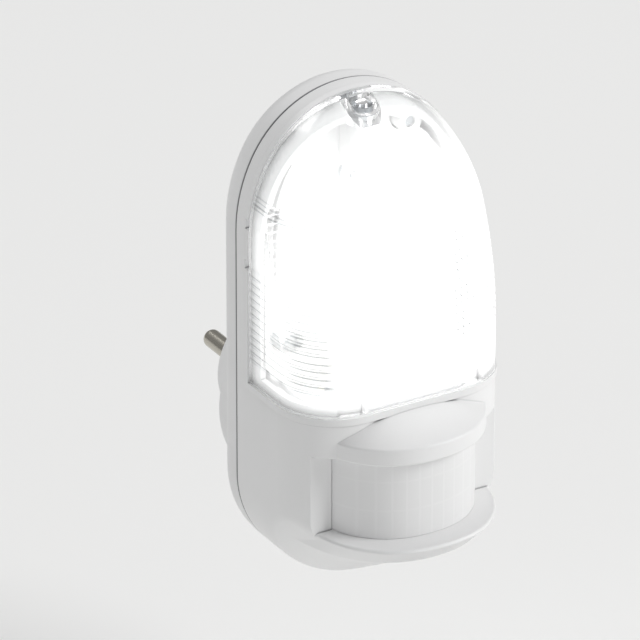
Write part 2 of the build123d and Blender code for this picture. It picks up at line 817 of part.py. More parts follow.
with BuildPart() as reflector_screws:
    for x, z in reflector_screw_places:
        add(front_screw(x, z, reflector_back_depth + reflector_wall, reflector_wall + wall + 3,
                        small_screw_radius, small_head_radius, small_head_height, False))
finish(reflector_screws, "reflector_screws")


# ---- lampholder for a small screw cap, with its brass sleeve, centre contact and two screws

lamp_y = depth_y(lamp_depth)
holder_top = holder_z + holder_height
holder_floor_z = holder_z + holder_floor
with BuildPart() as lampholder:
    add(post(0, lamp_depth, holder_radius, (holder_z, holder_top)))
    with BuildSketch(Plane.XY.offset(holder_flange_z)):
        with Locations((0, lamp_y)):
            SlotOverall(holder_flange_length, holder_flange_width)
    extrude(amount=holder_flange_wall)
    add(post(0, lamp_depth, holder_bore, (holder_floor_z, holder_top)), mode=Mode.SUBTRACT)
    for side in (-1, 1):
        add(post(side * holder_screw_x, lamp_depth, tiny_screw_radius + slack, (0, far)), mode=Mode.SUBTRACT)
    fillet(lampholder.edges().group_by(Axis.Z)[-1], radius=0.4)
finish(lampholder, "lampholder")

with BuildPart() as lampholder_screws:
    for side in (-1, 1):
        top = holder_flange_z + holder_flange_wall
        add(post(side * holder_screw_x, lamp_depth, tiny_head_radius, (top, top + tiny_head_height)))
        add(post(side * holder_screw_x, lamp_depth, tiny_screw_radius, (shelf_top_z - shelf_wall, top)))
        add(slab((side * holder_screw_x - tiny_head_radius, side * holder_screw_x + tiny_head_radius),
                 (lamp_depth - driver_slot / 2, lamp_depth + driver_slot / 2),
                 (top + tiny_head_height / 2, far)), mode=Mode.SUBTRACT)
finish(lampholder_screws, "lampholder_screws")

sleeve_z = holder_floor_z + contact_rise
with BuildPart() as lampholder_sleeve:
    add(post(0, lamp_depth, sleeve_radius, (sleeve_z, sleeve_z + sleeve_height)))
    add(post(0, lamp_depth, sleeve_bore, (0, far)), mode=Mode.SUBTRACT)
    add(post(0, lamp_depth, holder_bore, (sleeve_z, sleeve_z + cap_wall)))
    add(post(0, lamp_depth, sleeve_bore, (0, far)), mode=Mode.SUBTRACT)
finish(lampholder_sleeve, "lampholder_sleeve")

with BuildPart() as lampholder_contact:
    add(post(0, lamp_depth, contact_radius, (holder_floor_z, holder_floor_z + contact_wall)))
    with BuildSketch(Plane.XY.offset(holder_floor_z + contact_wall)):
        with Locations((0, lamp_y)):
            Circle(tip_radius)
    extrude(amount=contact_rise - contact_wall, taper=30)
finish(lampholder_contact, "lampholder_contact")


# ---- lamp: tubular glass on a screw cap, with insulator, tip, stem and filament

tip_z = holder_floor_z + contact_rise
insulator_z = tip_z + tip_height
cap_z = insulator_z + insulator_height
cap_top = cap_z + cap_length
glass_z = cap_top - glass_shoulder
dome_reach = face_radius - wall - glass_gap - glass_radius
dome_z = face_bend_z + math.sqrt(dome_reach ** 2 - (lamp_depth - face_depth + face_radius) ** 2)
glass_top = dome_z + glass_radius


def turned(points):
    """A turned form about the lamp's axis from its half section, in radius and height."""
    with BuildPart() as form:
        with BuildSketch(Plane(origin=(0, lamp_y, 0), x_dir=(1, 0, 0), z_dir=(0, -1, 0))):
            Polygon(*points, align=None)
        revolve(axis=Axis((0, lamp_y, 0), (0, 0, 1)))
    return form.part


with BuildPart() as lamp_tip:
    add(post(0, lamp_depth, tip_radius, (tip_z, insulator_z)))
    fillet(lamp_tip.edges().group_by(Axis.Z)[0], radius=tip_height * 0.8)
finish(lamp_tip, "lamp_tip")

with BuildPart() as lamp_insulator:
    add(turned(((0, insulator_z), (tip_radius + 0.4, insulator_z), (insulator_radius, cap_z), (0, cap_z))))
finish(lamp_insulator, "lamp_insulator")

with BuildPart() as lamp_cap:
    root = cap_radius - thread_depth
    profile = [(0.0, cap_z), (insulator_radius, cap_z)]
    turn_count = int((cap_length - 2 * cap_foot) / thread_pitch)
    for turn in range(turn_count):
        low = cap_z + cap_foot + turn * thread_pitch
        profile += [(root, low), (cap_radius, low + thread_pitch / 3), (cap_radius, low + thread_pitch / 2)]
    profile += [(root, low + thread_pitch), (root, cap_top), (0.0, cap_top)]
    add(turned(profile))
    add(post(0, lamp_depth, root - cap_wall, (cap_z + cap_foot, cap_top)), mode=Mode.SUBTRACT)
finish(lamp_cap, "lamp_cap")

neck = cap_radius - thread_depth - cap_wall - thread_clearance
with BuildPart() as lamp_glass:
    for inset, cut in ((0.0, Mode.ADD), (glass_wall, Mode.SUBTRACT)):
        with BuildSketch(Plane(origin=(0, lamp_y, 0), x_dir=(1, 0, 0), z_dir=(0, -1, 0))):
            with BuildLine():
                low = glass_z if inset == 0 else glass_z + glass_wall
                shoulder = cap_top + glass_shoulder
                crown = glass_top - glass_radius
                Line((0, low), (neck - inset, low))
                Line((neck - inset, low), (neck - inset, cap_top + 0.5))
                Spline((neck - inset, cap_top + 0.5), (glass_radius - inset, shoulder),
                       tangents=((0.35, 1), (0, 1)))
                Line((glass_radius - inset, shoulder), (glass_radius - inset, crown))
                RadiusArc((glass_radius - inset, crown), (0, glass_top - inset), -(glass_radius - inset))
                Line((0, glass_top - inset), (0, low))
            make_face()
        revolve(axis=Axis((0, lamp_y, 0), (0, 0, 1)), mode=cut)
finish(lamp_glass, "lamp_glass")

stem_z = glass_z + glass_wall
stem_top = stem_z + stem_height
with BuildPart() as lamp_stem:
    add(turned(((0, stem_z), (neck - glass_wall - 0.2, stem_z), (stem_radius, stem_z + stem_height / 3),
                (stem_radius, stem_top), (0, stem_top))))
finish(lamp_stem, "lamp_stem")

with BuildPart() as lamp_filament:
    arch_z = stem_top + support_height
    with BuildLine() as wire:
        first = Line((-support_radius * 2, lamp_y, stem_top),
                     (-support_spread, lamp_y, arch_z))
        ThreePointArc(first @ 1, (0, lamp_y, arch_z + support_spread / 2), (support_spread, lamp_y, arch_z))
        Line((support_spread, lamp_y, arch_z), (support_radius * 2, lamp_y, stem_top))
    for rail, radius in zip(wire.edges(), (support_radius, coil_radius, support_radius)):
        with BuildSketch(Plane(origin=rail @ 0, z_dir=rail % 0)):
            Circle(radius)
        sweep(path=rail)
    add(slab((-far, far), (0, far), (0, stem_top)), mode=Mode.SUBTRACT)
finish(lamp_filament, "lamp_filament")

lead_depth = lamp_depth - lead_setback
with BuildPart() as lamp_leads:
    for side in (-1, 1):
        with BuildLine() as route:
            FilletPolyline((side * lead_x, depth_y(lead_depth), holder_z),
                           (side * lead_x, depth_y(lead_depth), lead_z),
                           (side * lead_x, depth_y(board_front), lead_z), radius=lead_bend)
        with BuildSketch(Plane(origin=route.line @ 0, z_dir=route.line % 0)):
            Circle(lead_radius)
        sweep(path=route.line)
finish(lamp_leads, "lamp_leads")


# ---- control board, its screws and its components

with BuildPart() as control_board:
    add(slab((-board_half, board_half), (board_depth, board_front), (board_bottom_z, board_top_z)))
    for x, z in board_screw_places:
        add(rod(x, z, small_screw_radius + slack, (0, far)), mode=Mode.SUBTRACT)
    for side in (-1, 1):
        inner_x, outer_x = sorted((side * (pin_spacing / 2 + strap_reach - strap_wall - slack),
                                   side * (pin_spacing / 2 + strap_reach + slack)))
        add(slab((inner_x, outer_x), (0, far), (-strap_width / 4 - slack, strap_width / 4 + slack)),
            mode=Mode.SUBTRACT)
    chamfer(control_board.edges().filter_by(Axis.Y).group_by(Axis.Z)[0], length=2.0)
finish(control_board, "control_board")

with BuildPart() as board_screws:
    for x, z in board_screw_places:
        add(front_screw(x, z, board_front, board_wall + wall + 3, small_screw_radius, small_head_radius,
                        small_head_height, False))
finish(board_screws, "board_screws")


def component_block(name, place, size, radius):
    """A moulded block that stands on the control board, with rounded corners."""
    with BuildPart() as block:
        with BuildSketch(at_depth(board_front)):
            with Locations(place):
                RectangleRounded(size[0], size[1], radius)
        extrude(amount=size[2])
        fillet(block.edges().group_by(Axis.Y)[0], radius=radius / 2)
    finish(block, name)


def component_rods(name, places, radius, length):
    """Round components that lie upright on the control board, with thinner ends."""
    with BuildPart() as rods:
        for x, z in places:
            add(post(x, board_front + radius, radius, (z - length / 2, z + length / 2)))
            for end in (z - length / 2, z + length / 2):
                add(post(x, board_front + radius, radius * 0.4, (end - radius, end + radius)))
        fillet(rods.edges().filter_by(GeomType.CIRCLE).filter_by(lambda edge: edge.radius > radius * 0.9),
               radius=radius / 4)
    finish(rods, name)


component_block("relay", relay_place, relay_size, 1.0)
component_block("film_capacitor", film_place, film_size, 0.8)
component_block("control_ic", ic_place, ic_size, 0.5)
component_rods("diodes", diode_places, diode_radius, diode_length)
component_rods("resistors", resistor_places, resistor_radius, resistor_length)
component_rods("fuse", (fuse_place,), fuse_radius, fuse_length - 2 * fuse_radius)

with BuildPart() as electrolytic_capacitor:
    with BuildSketch(at_depth(board_front)):
        with Locations(electrolytic_place):
            Circle(electrolytic_radius)
    extrude(amount=electrolytic_height)
    fillet(electrolytic_capacitor.edges().group_by(Axis.Y)[0], radius=electrolytic_radius / 6)
finish(electrolytic_capacitor, "electrolytic_capacitor")

sensor_board_depth = shroud_depth - sensor_board_wall
with BuildPart() as board_link:
    with BuildSketch(at_depth(board_front)):
        with Locations(link_place):
            Rectangle(link_size[0], link_size[1])
    extrude(amount=link_size[2])
    with BuildSketch(at_depth(board_front)):
        with Locations(link_place):
            with GridLocations(link_pitch, 0, 3, 1):
                Circle(link_pin_radius)
    extrude(amount=sensor_board_depth - board_front)
finish(board_link, "board_link")


# ---- motion sensor: window, frame, board, sensor can with its filter and pins, light sensor

window_gap = 0.1
window_bottom = ledge_z + window_gap
window_height = visor_z - ledge_z - 2 * window_gap
with BuildPart() as pir_window:
    add(window_bow(0, window_bottom, window_height))
    add(slab((-far, far), (0, niche_back), (-far, far)), mode=Mode.SUBTRACT)
    add(slab((-window_flange_half, window_flange_half), (niche_back - window_flange_wall, niche_back),
             (ledge_z - window_flange_overlap, visor_z + window_flange_overlap)))
    add(window_bow(window_wall, window_bottom + window_wall, window_height - 2 * window_wall),
        mode=Mode.SUBTRACT)
    for x, z in peg_places:
        add(rod(x, z, peg_radius + slack, (0, far)), mode=Mode.SUBTRACT)
finish(pir_window, "pir_window")

shroud_z = (sensor_z - shroud_height / 2, sensor_z + shroud_height / 2)
with BuildPart() as window_frame:
    add(slab((-frame_half, frame_half), (frame_back, frame_front),
             (ledge_z - frame_overlap, visor_z + frame_overlap)))
    add(slab((-shroud_half, shroud_half), (shroud_depth, frame_back), shroud_z))
    add(slab((shroud_wall - shroud_half, shroud_half - shroud_wall), (0, far),
             (shroud_z[0] + shroud_wall, shroud_z[1] - shroud_wall)), mode=Mode.SUBTRACT)
    for side in (-1, 1):
        add(rod(side * sensor_screw_x, sensor_z, sensor_post_radius, (shroud_depth, frame_front)))
        add(rod(side * sensor_screw_x, sensor_z, tiny_screw_radius + thread_clearance, (0, frame_back)),
            mode=Mode.SUBTRACT)
    for x, z in peg_places:
        add(rod(x, z, peg_radius + slack, (0, far)), mode=Mode.SUBTRACT)
finish(window_frame, "window_frame")

with BuildPart() as pir_board:
    add(slab((-sensor_board_half, sensor_board_half), (sensor_board_depth, shroud_depth),
             (sensor_z - sensor_board_height / 2, sensor_z + sensor_board_height / 2)))
    for side in (-1, 1):
        add(rod(side * sensor_screw_x, sensor_z, tiny_screw_radius + slack, (0, far)), mode=Mode.SUBTRACT)
    with BuildSketch(at_depth(sensor_board_depth)):
        with Locations((0, sensor_z)):
            with PolarLocations(sensor_pin_ring, 3):
                Circle(sensor_pin_radius + slack)
    extrude(amount=sensor_board_wall, mode=Mode.SUBTRACT)
finish(pir_board, "pir_board")

with BuildPart() as pir_board_screws:
    for side in (-1, 1):
        add(front_screw(side * sensor_screw_x, sensor_z, sensor_board_depth, sensor_board_wall + 4,
                        tiny_screw_radius, tiny_head_radius, tiny_head_height, True))
finish(pir_board_screws, "pir_board_screws")

can_top = shroud_depth + can_height
with BuildPart() as pir_sensor:
    add(rod(0, sensor_z, can_flange_radius, (shroud_depth, shroud_depth + can_flange_height)))
    add(rod(0, sensor_z, can_radius, (shroud_depth, can_top)))
    fillet(pir_sensor.edges().group_by(Axis.Y)[0], radius=can_flange_height)
    add(slab((-filter_width / 2, filter_width / 2), (can_top - filter_wall, far),
             (sensor_z - filter_height / 2, sensor_z + filter_height / 2)), mode=Mode.SUBTRACT)
finish(pir_sensor, "pir_sensor")

with BuildPart() as pir_filter:
    add(slab((-filter_width / 2, filter_width / 2), (can_top - filter_wall, can_top),
             (sensor_z - filter_height / 2, sensor_z + filter_height / 2)))
finish(pir_filter, "pir_filter")

with BuildPart() as pir_leads:
    with BuildSketch(at_depth(shroud_depth)):
        with Locations((0, sensor_z)):
            with PolarLocations(sensor_pin_ring, 3):
                Circle(sensor_pin_radius)
    extrude(amount=-sensor_board_wall - 0.8)
finish(pir_leads, "pir_leads")

with BuildPart() as light_sensor:
    add(rod(light_sensor_x, sensor_z, light_sensor_radius + 0.3, (shroud_depth, shroud_depth + 1)))
    add(rod(light_sensor_x, sensor_z, light_sensor_radius,
            (shroud_depth, shroud_depth + light_sensor_height)))
    fillet(light_sensor.edges().group_by(Axis.Y)[0], radius=light_sensor_radius * 0.8)
finish(light_sensor, "light_sensor")


# ---- slide switch: body on the board's edge, knob through the wall; it moves along Z

wall_inner_x = half_width - wall
plate_outer_x = wall_inner_x - knob_gap
plate_inner_x = plate_outer_x - knob_plate
switch_top_x = plate_inner_x - knob_gap
switch_base_x = switch_top_x - switch_body_height
stem_slot_half = knob_stem / 2 + switch_travel + 3 * slack
switch_back = board_front
switch_front = board_front + switch_body_width
with BuildPart() as mode_switch_body:
    add(slab((switch_base_x, switch_top_x), (switch_back, switch_front),
             (switch_z - switch_body_length / 2, switch_z + switch_body_length / 2)))
    chamfer(mode_switch_body.edges().filter_by(Axis.Z), length=0.4)
    add(slab((switch_base_x + switch_body_wall, far),
             (switch_depth - knob_stem / 2 - 3 * slack, switch_depth + knob_stem / 2 + 3 * slack),
             (switch_z - stem_slot_half, switch_z + stem_slot_half)), mode=Mode.SUBTRACT)
finish(mode_switch_body, "mode_switch_body")

plate_half = slot_half + switch_travel + knob_plate_overlap
with BuildPart() as mode_switch_knob:
    add(slab((plate_inner_x, plate_outer_x),
             (switch_depth - knob_plate_width / 2, switch_depth + knob_plate_width / 2),
             (switch_z - plate_half, switch_z + plate_half)))
    add(slab((switch_base_x + switch_body_wall + 1, plate_inner_x),
             (switch_depth - knob_stem / 2, switch_depth + knob_stem / 2),
             (switch_z - knob_stem / 2, switch_z + knob_stem / 2)))
    grip = slab((plate_outer_x, half_width + knob_proud),
                (switch_depth - knob_width / 2, switch_depth + knob_width / 2),
                (switch_z - knob_length / 2, switch_z + knob_length / 2))
    add(grip)
    for ridge in range(knob_ridges):
        place = switch_z + (ridge - (knob_ridges - 1) / 2) * knob_length / knob_ridges
        add(slab((half_width + knob_proud - knob_ridge, far), (0, far),
                 (place - knob_ridge / 2, place + knob_ridge / 2)), mode=Mode.SUBTRACT)
finish(mode_switch_knob, "mode_switch_knob")
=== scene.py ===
"""Looks of a plug-in night light with a motion sensor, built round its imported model.  Metres, +Z up."""
import bmesh
import bpy
import math
from mathutils import Matrix, Vector


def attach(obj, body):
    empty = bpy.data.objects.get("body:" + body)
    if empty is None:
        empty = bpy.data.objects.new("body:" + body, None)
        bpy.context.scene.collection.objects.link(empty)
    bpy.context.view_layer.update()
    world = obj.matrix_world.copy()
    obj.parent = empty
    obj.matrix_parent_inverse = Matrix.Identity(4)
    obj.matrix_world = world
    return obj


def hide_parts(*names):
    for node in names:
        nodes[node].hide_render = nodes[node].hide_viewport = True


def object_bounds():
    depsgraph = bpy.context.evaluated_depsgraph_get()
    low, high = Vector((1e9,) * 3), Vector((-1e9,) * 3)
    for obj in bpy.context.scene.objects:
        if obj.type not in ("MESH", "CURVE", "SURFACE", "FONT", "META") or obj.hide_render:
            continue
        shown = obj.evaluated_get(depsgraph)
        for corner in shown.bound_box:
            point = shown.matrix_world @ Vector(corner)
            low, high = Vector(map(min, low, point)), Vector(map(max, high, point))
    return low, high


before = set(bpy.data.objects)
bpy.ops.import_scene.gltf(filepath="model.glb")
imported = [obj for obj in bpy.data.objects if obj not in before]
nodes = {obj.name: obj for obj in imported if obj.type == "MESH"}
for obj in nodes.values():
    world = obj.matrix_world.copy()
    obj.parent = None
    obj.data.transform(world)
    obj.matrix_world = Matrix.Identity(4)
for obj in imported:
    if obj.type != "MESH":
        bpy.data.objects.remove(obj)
cad_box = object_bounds()
MM = 0.001
scene = bpy.context.scene


# ---- camera
# A long lens at the light's upper left, held without roll; so far off, upright lines stay nearly parallel.
# The aim is a point on the plug's axis, 11 mm in front of the socket plate that the flange rests on.
camera_azimuth = math.radians(-30.5)
camera_elevation = math.radians(27.0)
camera_distance = 2.125
camera_aim = Vector((0.0, -27.45 * MM, 0.0))
camera_right = -3.65 * MM
camera_up = 20.0 * MM
focal_length = 478.125

forward = Vector((-math.sin(camera_azimuth) * math.cos(camera_elevation),
                  math.cos(camera_azimuth) * math.cos(camera_elevation),
                  -math.sin(camera_elevation)))
right = Vector((math.cos(camera_azimuth), math.sin(camera_azimuth), 0.0))
up = right.cross(forward)
camera_data = bpy.data.cameras.new("camera")
camera_data.lens = focal_length
camera_data.sensor_width = 36.0
camera_data.clip_start = 0.1
camera_data.clip_end = 50.0
camera = bpy.data.objects.new("camera", camera_data)
scene.collection.objects.link(camera)
camera.location = camera_aim - camera_distance * forward + camera_right * right + camera_up * up
camera.rotation_mode = "QUATERNION"
camera.rotation_quaternion = forward.to_track_quat("-Z", "Y")
scene.camera = camera
scene.view_settings.view_transform = "Standard"


# ---- studio
# A pale matt floor and sky, which the camera sees brighter than they light the part.  A large soft key lamp
# stands in front at the right, a weak fill lamp at the left, and a smaller lamp above and behind.  Nothing
# here belongs to the light itself.
def srgb(code):
    """A colour written as six hex digits, as linear values with full cover."""
    parts = [int(code[i:i + 2], 16) / 255 for i in (0, 2, 4)]
    return tuple(p / 12.92 if p <= 0.04045 else ((p + 0.055) / 1.055) ** 2.4 for p in parts) + (1.0,)


def add_node(tree, kind, settings=None, links=None):
    """One node, with its properties or socket values set and its inputs linked.

    Sockets go by name, or by number where two share a name.  On a Map Range node 1 and 2 are the ends of the
    range that comes in, and 3 and 4 those of the range that goes out.  A Mix node takes its two colours on
    6 and 7 and gives one on output 2."""
    made = tree.nodes.new(kind)
    for name, value in (settings or {}).items():
        if isinstance(name, int) or name in made.inputs:
            made.inputs[name].default_value = value
        else:
            setattr(made, name, value)
    for name, source in (links or {}).items():
        tree.links.new(source, made.inputs[name])
    return made


def new_material(name):
    """An empty node material and its tree."""
    material = bpy.data.materials.new(name)
    material.use_nodes = True
    material.node_tree.nodes.clear()
    return material, material.node_tree


def soft_lamp(name, place, aim, width, height, power, tint):
    """A rectangular studio lamp that points at a place."""
    data = bpy.data.lights.new(name, "AREA")
    data.shape = "RECTANGLE"
    data.size = width
    data.size_y = height
    data.energy = power
    data.color = srgb(tint)[:3]
    lamp = bpy.data.objects.new(name, data)
    lamp.location = place
    lamp.rotation_mode = "QUATERNION"
    lamp.rotation_quaternion = (Vector(aim) - Vector(place)).to_track_quat("-Z", "Y")
    scene.collection.objects.link(lamp)


floor_gap = 45 * MM
floor_level = cad_box[0].z - floor_gap
floor_reach = 6.0
floor_lift = 0.2
sky_strength = 0.38
seen_sky_strength = 1.0
floor_mesh = bpy.data.meshes.new("floor")
floor_mesh.from_pydata([(-floor_reach, -floor_reach, floor_level), (floor_reach, -floor_reach, floor_level),
                        (floor_reach, floor_reach, floor_level), (-floor_reach, floor_reach, floor_level)],
                       [], [(0, 1, 2, 3)])
floor = bpy.data.objects.new("floor", floor_mesh)
scene.collection.objects.link(floor)
paint, tree = new_material("matt_floor_paint")
coat = add_node(tree, "ShaderNodeBsdfPrincipled",
                {"Base Color": srgb("f4f4f3"), "Roughness": 0.9, "Specular IOR Level": 0.2})
pale = add_node(tree, "ShaderNodeEmission", {"Color": srgb("fbfbfb"), "Strength": 1.0})
rays = add_node(tree, "ShaderNodeLightPath")
share = add_node(tree, "ShaderNodeMath", {"operation": "MULTIPLY", 1: floor_lift},
                 {0: rays.outputs["Is Camera Ray"]})
blend = add_node(tree, "ShaderNodeMixShader",
                 links={0: share.outputs[0], 1: coat.outputs["BSDF"], 2: pale.outputs["Emission"]})
add_node(tree, "ShaderNodeOutputMaterial", links={"Surface": blend.outputs["Shader"]})
floor_mesh.materials.append(paint)

world = bpy.data.worlds.new("sky")
scene.world = world
world.use_nodes = True
world.node_tree.nodes.clear()
sky = add_node(world.node_tree, "ShaderNodeBackground",
               {"Color": srgb("e6e6e6"), "Strength": sky_strength})
seen_sky = add_node(world.node_tree, "ShaderNodeBackground",
                    {"Color": srgb("ebebeb"), "Strength": seen_sky_strength})
rays = add_node(world.node_tree, "ShaderNodeLightPath")
both_skies = add_node(world.node_tree, "ShaderNodeMixShader",
                      links={0: rays.outputs["Is Camera Ray"], 1: sky.outputs["Background"],
                             2: seen_sky.outputs["Background"]})
add_node(world.node_tree, "ShaderNodeOutputWorld", links={"Surface": both_skies.outputs["Shader"]})

middle = (cad_box[0] + cad_box[1]) / 2
soft_lamp("key_lamp", place=(1.65, -1.35, 1.2), aim=middle, width=1.2, height=1.2, power=37.0, tint="ffffff")
soft_lamp("fill_lamp", place=(-1.6, -1.2, 0.6), aim=middle, width=1.2, height=1.2, power=4.0, tint="fbfdff")
soft_lamp("top_lamp", place=(-0.3, 0.9, 1.6), aim=middle, width=0.9, height=0.9, power=11.0, tint="ffffff")


# ---- back shell and plug
# The shallow back shell and the round earthed plug body are injection-moulded white ABS.  Three screws from
# inside hold the plug's flange, and each nickel-plated pin is moulded into the plug.

# Shared by the surfaces: three patterns, the size of slow changes in tone, the distance of the parting line
# in front of the plug's end face and how far its painted shade reaches, the openness at which a close
# corner's painted shade is full and gone, and the spread of gloss.
noise, cells, waves = "ShaderNodeTexNoise", "ShaderNodeTexVoronoi", "ShaderNodeTexWave"
tone_size = 14 * MM
seam_place = 30.5 * MM
seam_shade_core = 0.2 * MM
seam_shade_fade = 0.36 * MM
corner_shade_full, corner_shade_none = 0.4, 0.85
gloss_least, gloss_most = 0.9, 1.15


def surface(name, light, dark, roughness, pattern, size_mm, relief_mm, stretch=(1, 1, 1), edge_mm=0.0,
            painted_shade_mm=0.0, **sockets):
    """A material whose colour, relief and gloss vary with one pattern of a real size.

    Its edges may look softened, and painted shade may darken its parting line and close corners."""
    material, tree = new_material(name)
    place = add_node(tree, "ShaderNodeTexCoord").outputs["Object"]
    spread = add_node(tree, "ShaderNodeMapping", {"Scale": stretch}, {"Vector": place}).outputs["Vector"]
    marks = add_node(tree, pattern, {"Scale": 1 / (size_mm * MM)}, {"Vector": spread})
    amount = marks.outputs["Distance" if pattern == cells else "Fac"]
    tone = add_node(tree, noise, {"Scale": 1 / tone_size, "Detail": 2.0}, {"Vector": place})
    both = add_node(tree, "ShaderNodeMath", {"operation": "MULTIPLY"}, {0: amount, 1: tone.outputs["Fac"]})
    colour = add_node(tree, "ShaderNodeMix", {"data_type": "RGBA", 6: srgb(light), 7: srgb(dark)},
                      {0: both.outputs[0]}).outputs[2]
    # Painted shade: close corners, found by occlusion, and the groove of the parting line turn dark grey.
    if painted_shade_mm:
        open_sky = add_node(tree, "ShaderNodeAmbientOcclusion",
                            {"samples": 8, "Distance": painted_shade_mm * MM, "only_local": True})
        clear = add_node(tree, "ShaderNodeMapRange", {1: corner_shade_full, 2: corner_shade_none},
                         {0: open_sky.outputs["AO"]})
        across = add_node(tree, "ShaderNodeSeparateXYZ", links={0: place}).outputs["Y"]
        from_seam = add_node(tree, "ShaderNodeMath", {"operation": "ADD", 1: seam_place}, {0: across})
        near_seam = add_node(tree, "ShaderNodeMath", {"operation": "ABSOLUTE"}, {0: from_seam.outputs[0]})
        past_seam_shade = add_node(tree, "ShaderNodeMapRange", {1: seam_shade_core, 2: seam_shade_fade},
                          {0: near_seam.outputs[0]})
        lit = add_node(tree, "ShaderNodeMath", {"operation": "MINIMUM"},
                       {0: clear.outputs[0], 1: past_seam_shade.outputs[0]})
        # Painted shade in close corners and along the parting line.
        colour = add_node(tree, "ShaderNodeMix", {"data_type": "RGBA", 6: srgb("77777a")},
                          {0: lit.outputs[0], 7: colour}).outputs[2]
    gloss = add_node(tree, "ShaderNodeMapRange", {3: roughness * gloss_least, 4: roughness * gloss_most},
                     {0: tone.outputs["Fac"]})
    bump = add_node(tree, "ShaderNodeBump", {"Strength": 0.3, "Distance": relief_mm * MM}, {"Height": amount})
    if edge_mm:
        edge = add_node(tree, "ShaderNodeBevel", {"samples": 4, "Radius": edge_mm * MM})
        tree.links.new(edge.outputs["Normal"], bump.inputs["Normal"])
    shader = add_node(tree, "ShaderNodeBsdfPrincipled", sockets,
                      {"Base Color": colour, "Roughness": gloss.outputs[0],
                       "Normal": bump.outputs["Normal"]})
    add_node(tree, "ShaderNodeOutputMaterial", links={"Surface": shader.outputs["BSDF"]})
    return material


def dress(material, *names):
    """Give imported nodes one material."""
    for name in names:
        mesh = nodes[name].data
        mesh.materials.clear()
        mesh.materials.append(material)


# Moulded ABS: a satin white with a fine spark-eroded grain of about 0.35 mm and hardly any change in tone.
# Its close corners and parting line are darkened with painted shade.
white_abs = surface("moulded_white_abs", light="f2f2f2", dark="ebebeb", roughness=0.42, pattern=noise,
                    size_mm=0.35, relief_mm=0.02, edge_mm=0.15, painted_shade_mm=0.8, IOR=1.53)
dress(white_abs, "back_housing", "plug_body")

# Nickel plate on brass: a bright warm grey with faint marks drawn along the pins by use.
nickel_brass = surface("nickel_plated_brass", light="c9c5bb", dark="b3aea2", roughness=0.22, pattern=noise,
                       size_mm=0.4, relief_mm=0.01, stretch=(3, 0.4, 3), edge_mm=0.1, Metallic=1.0)
dress(nickel_brass, "plug_pins")

# Zinc-plated steel: a cool pale grey, slightly mottled by the plating bath.
zinc_steel = surface("zinc_plated_steel", light="b9bcbf", dark="9a9da1", roughness=0.34, pattern=noise,
                     size_mm=0.5, relief_mm=0.01, edge_mm=0.08, Metallic=1.0)
dress(zinc_steel, "plug_screws", "housing_screws", "lens_screw", "reflector_screws", "lampholder_screws",
      "board_screws", "pir_board_screws")

# Rolled spring brass: yellow, with fine level lines left by the rolls.
spring_brass = surface("rolled_spring_brass", light="d8b878", dark="b99a5b", roughness=0.3, pattern=noise,
                       size_mm=0.3, relief_mm=0.008, stretch=(0.3, 3, 3), Metallic=1.0)
dress(spring_brass, "contact_straps", "lampholder_sleeve", "lampholder_contact")


# ---- control board and its parts
# A brown paper laminate board, screwed to the back shell, carries the relay, the two capacitors, the timer
# chip, diodes, resistors and fuse, which are soldered to it.

# Paper laminate: brown, with the faint level weave of its sheets.
board_laminate = surface("paper_laminate", light="a8874f", dark="8f6f3c", roughness=0.4, pattern=noise,
                         size_mm=0.6, relief_mm=0.01, stretch=(0.2, 1, 1), IOR=1.55)
dress(board_laminate, "control_board", "pir_board")

# Moulded epoxy and black thermoplastic: a dull charcoal with a fine even grain.
black_case = surface("black_moulded_case", light="2b2b2c", dark="1d1d1e", roughness=0.45, pattern=noise,
                     size_mm=0.25, relief_mm=0.015, edge_mm=0.12, IOR=1.5)
dress(black_case, "relay", "control_ic", "diodes", "mode_switch_body")

# Dipped film capacitor case: a clear yellow-ochre gloss.
yellow_case = surface("yellow_polyester_case", light="c9992f", dark="b3841f", roughness=0.25, pattern=noise,
                      size_mm=1.5, relief_mm=0.02, edge_mm=0.2, IOR=1.5)
dress(yellow_case, "film_capacitor")

# Heat-shrunk vinyl sleeve: near-black blue gloss, drawn tight with faint ripples.
capacitor_sleeve = surface("shrunk_vinyl_sleeve", light="1f2736", dark="161c28", roughness=0.22,
                           pattern=noise, size_mm=1.0, relief_mm=0.02, stretch=(1, 1, 3), IOR=1.53)
dress(capacitor_sleeve, "electrolytic_capacitor")

# Resistor lacquer: a beige coat over the ceramic core, slightly lumpy.
resistor_lacquer = surface("resistor_lacquer", light="cdb58c", dark="b99f75", roughness=0.38, pattern=noise,
                           size_mm=0.8, relief_mm=0.03, IOR=1.5)
dress(resistor_lacquer, "resistors")

# Fuse ceramic: an unglazed ivory tube with tiny pores.
fuse_ceramic = surface("unglazed_ceramic", light="e4dfd0", dark="d2ccbb", roughness=0.6, pattern=cells,
                       size_mm=0.3, relief_mm=0.01, IOR=1.6)
dress(fuse_ceramic, "fuse")

# Tinned brass: dull silver leads with small changes from the solder bath.
header_pins = surface("tinned_brass", light="c4c1b8", dark="a8a59b", roughness=0.32, pattern=noise,
                      size_mm=0.3, relief_mm=0.008, Metallic=1.0)
dress(header_pins, "board_link", "pir_leads")


# ---- lampholder and lamp
# A glazed ceramic holder with a brass screw sleeve stands on the reflector's shelf and takes a small lamp
# with an aluminium screw cap.  The lamp is lit, so its glass and filament glow.

# Glazed ceramic: an ivory gloss with slow waves in the glaze.
holder_ceramic = surface("glazed_ceramic", light="f0ece0", dark="e2ddcf", roughness=0.12, pattern=noise,
                         size_mm=3.0, relief_mm=0.05, edge_mm=0.2, IOR=1.6)
dress(holder_ceramic, "lampholder")

# Spun aluminium: pale grey with fine rings from the spinning.
cap_aluminium = surface("spun_aluminium", light="c8c8c6", dark="adadab", roughness=0.35, pattern=noise,
                        size_mm=0.3, relief_mm=0.008, stretch=(0.3, 0.3, 4), Metallic=1.0)
dress(cap_aluminium, "lamp_cap")

